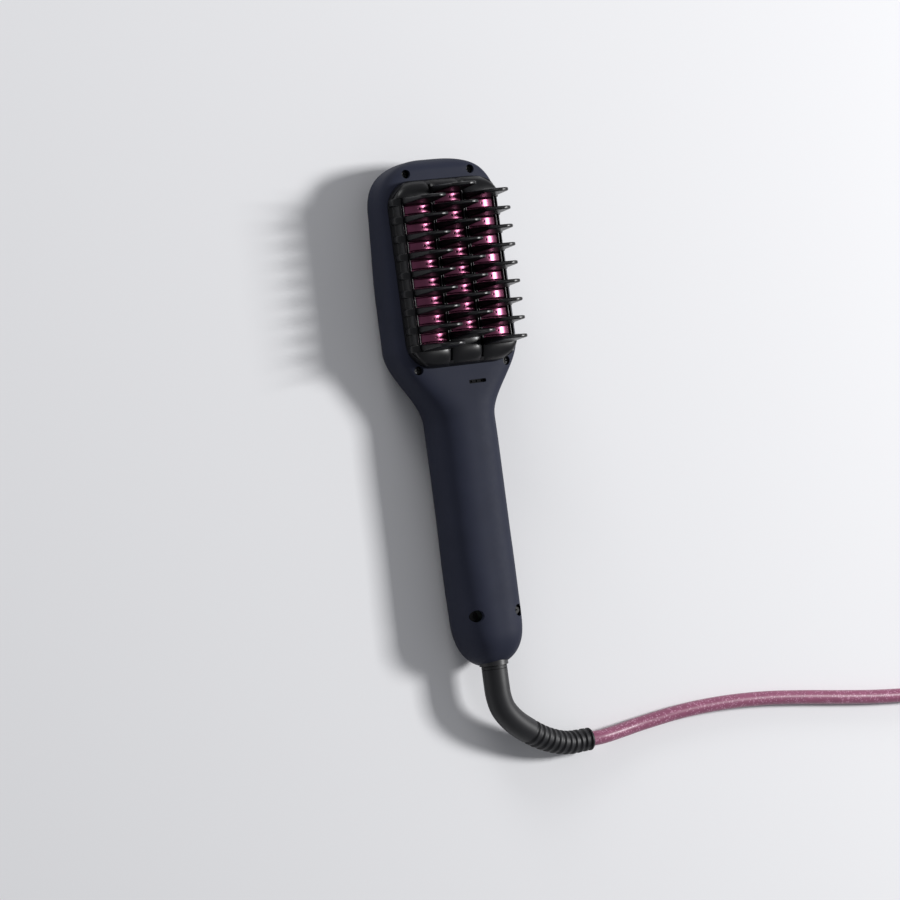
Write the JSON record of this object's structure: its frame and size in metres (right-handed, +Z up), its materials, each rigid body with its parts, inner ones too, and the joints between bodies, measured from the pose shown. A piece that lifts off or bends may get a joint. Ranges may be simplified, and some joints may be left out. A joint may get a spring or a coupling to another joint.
{
  "type": "steam hair straightener brush",
  "caption": "Steam hair straightener brush with staggered black fins over heated rose strips, a slide-out water tank, push buttons and a swivelling coiled mains cord.",
  "frame": {"origin": "under the middle of the brush, on the surface that it lies on", "axes": "+Z up out of the bristles, +Y along the brush towards the top of the head, +X to the right seen from the bristle side"},
  "size_m": [0.5063, 0.335, 0.0576],
  "materials": {
    "navy_shell": "satin",
    "gloss_black": "gloss",
    "rose_coating": "gloss",
    "bare_aluminium": "satin",
    "white_plastic": "satin",
    "tank_plastic": "gloss",
    "black_plastic": "satin",
    "charcoal_rubber": "matte",
    "pink_cord": "gloss",
    "seal_rubber": "matte",
    "steel": "satin",
    "black_steel": "satin",
    "nickel_pins": "polished",
    "brass": "satin",
    "board_green": "satin",
    "mica": "matte",
    "ceramic_white": "satin",
    "lens_black": "gloss"
  },
  "bodies": {
    "brush": {"front_shell": "navy_shell", "back_shell": "navy_shell", "bristle_frame": "gloss_black", "comb_left": "gloss_black", "comb_centre": "gloss_black", "comb_right": "gloss_black", "heater_plate_left": "rose_coating", "heater_plate_centre": "rose_coating", "heater_plate_right": "rose_coating", "ptc_heaters": "ceramic_white", "steam_chamber": "bare_aluminium", "heat_shield": "mica", "thermal_fuse": "ceramic_white", "ntc_sensor": "black_plastic", "tank_valve": "white_plastic", "valve_seal": "seal_rubber", "water_pump": "black_plastic", "inlet_tube": "white_plastic", "outlet_tube": "white_plastic", "main_pcb": "board_green", "pcb_components": "black_plastic", "tact_switches": "black_plastic", "display_module": "black_plastic", "display_lens": "lens_black", "ion_generator": "white_plastic", "ion_outlet": "black_plastic", "head_screws": "black_steel", "handle_screws": "black_steel", "pcb_screws": "steel", "swivel_bushing": "white_plastic", "contact_springs": "brass", "internal_wiring": "seal_rubber"},
    "cord_set": {"swivel_barrel": "black_plastic", "slip_rings": "brass", "strain_relief": "charcoal_rubber", "cord_lead": "pink_cord", "cord_coil": "pink_cord", "cord_tail": "pink_cord", "plug_body": "charcoal_rubber", "plug_pins": "nickel_pins"},
    "tank": {"water_tank": "tank_plastic"},
    "filler_plug": {"tank_plug": "charcoal_rubber"},
    "power_key": {"power_button": "black_plastic"},
    "temp_up_key": {"temp_up_button": "black_plastic"},
    "temp_down_key": {"temp_down_button": "black_plastic"},
    "steam_key": {"steam_button": "black_plastic"}
  },
  "joints": [
    {"name": "cord_swivel", "type": "hinge", "parent": "brush", "child": "cord_set", "pos_m": [0, -0.13, 0.02], "axis": [0, 1, 0], "continuous": true},
    {"name": "tank_slide", "type": "slide", "parent": "brush", "child": "tank", "axis": [0, 1, 0], "range_m": [0, 0.085]},
    {"name": "filler_plug_pull", "type": "slide", "parent": "tank", "child": "filler_plug", "axis": [0, 0, -1], "range_m": [0, 0.012]},
    {"name": "power_press", "type": "slide", "parent": "brush", "child": "power_key", "axis": [0, 0, 1], "range_m": [0, 0.0005], "stiffness_N_per_m": 800, "springref_m": -0.001},
    {"name": "temp_up_press", "type": "slide", "parent": "brush", "child": "temp_up_key", "axis": [0, 0, 1], "range_m": [0, 0.0005], "stiffness_N_per_m": 800, "springref_m": -0.001},
    {"name": "temp_down_press", "type": "slide", "parent": "brush", "child": "temp_down_key", "axis": [0, 0, 1], "range_m": [0, 0.0005], "stiffness_N_per_m": 800, "springref_m": -0.001},
    {"name": "steam_press", "type": "slide", "parent": "brush", "child": "steam_key", "axis": [0, 0, 1], "range_m": [0, 0.0012], "stiffness_N_per_m": 600, "springref_m": -0.0012}
  ]
}
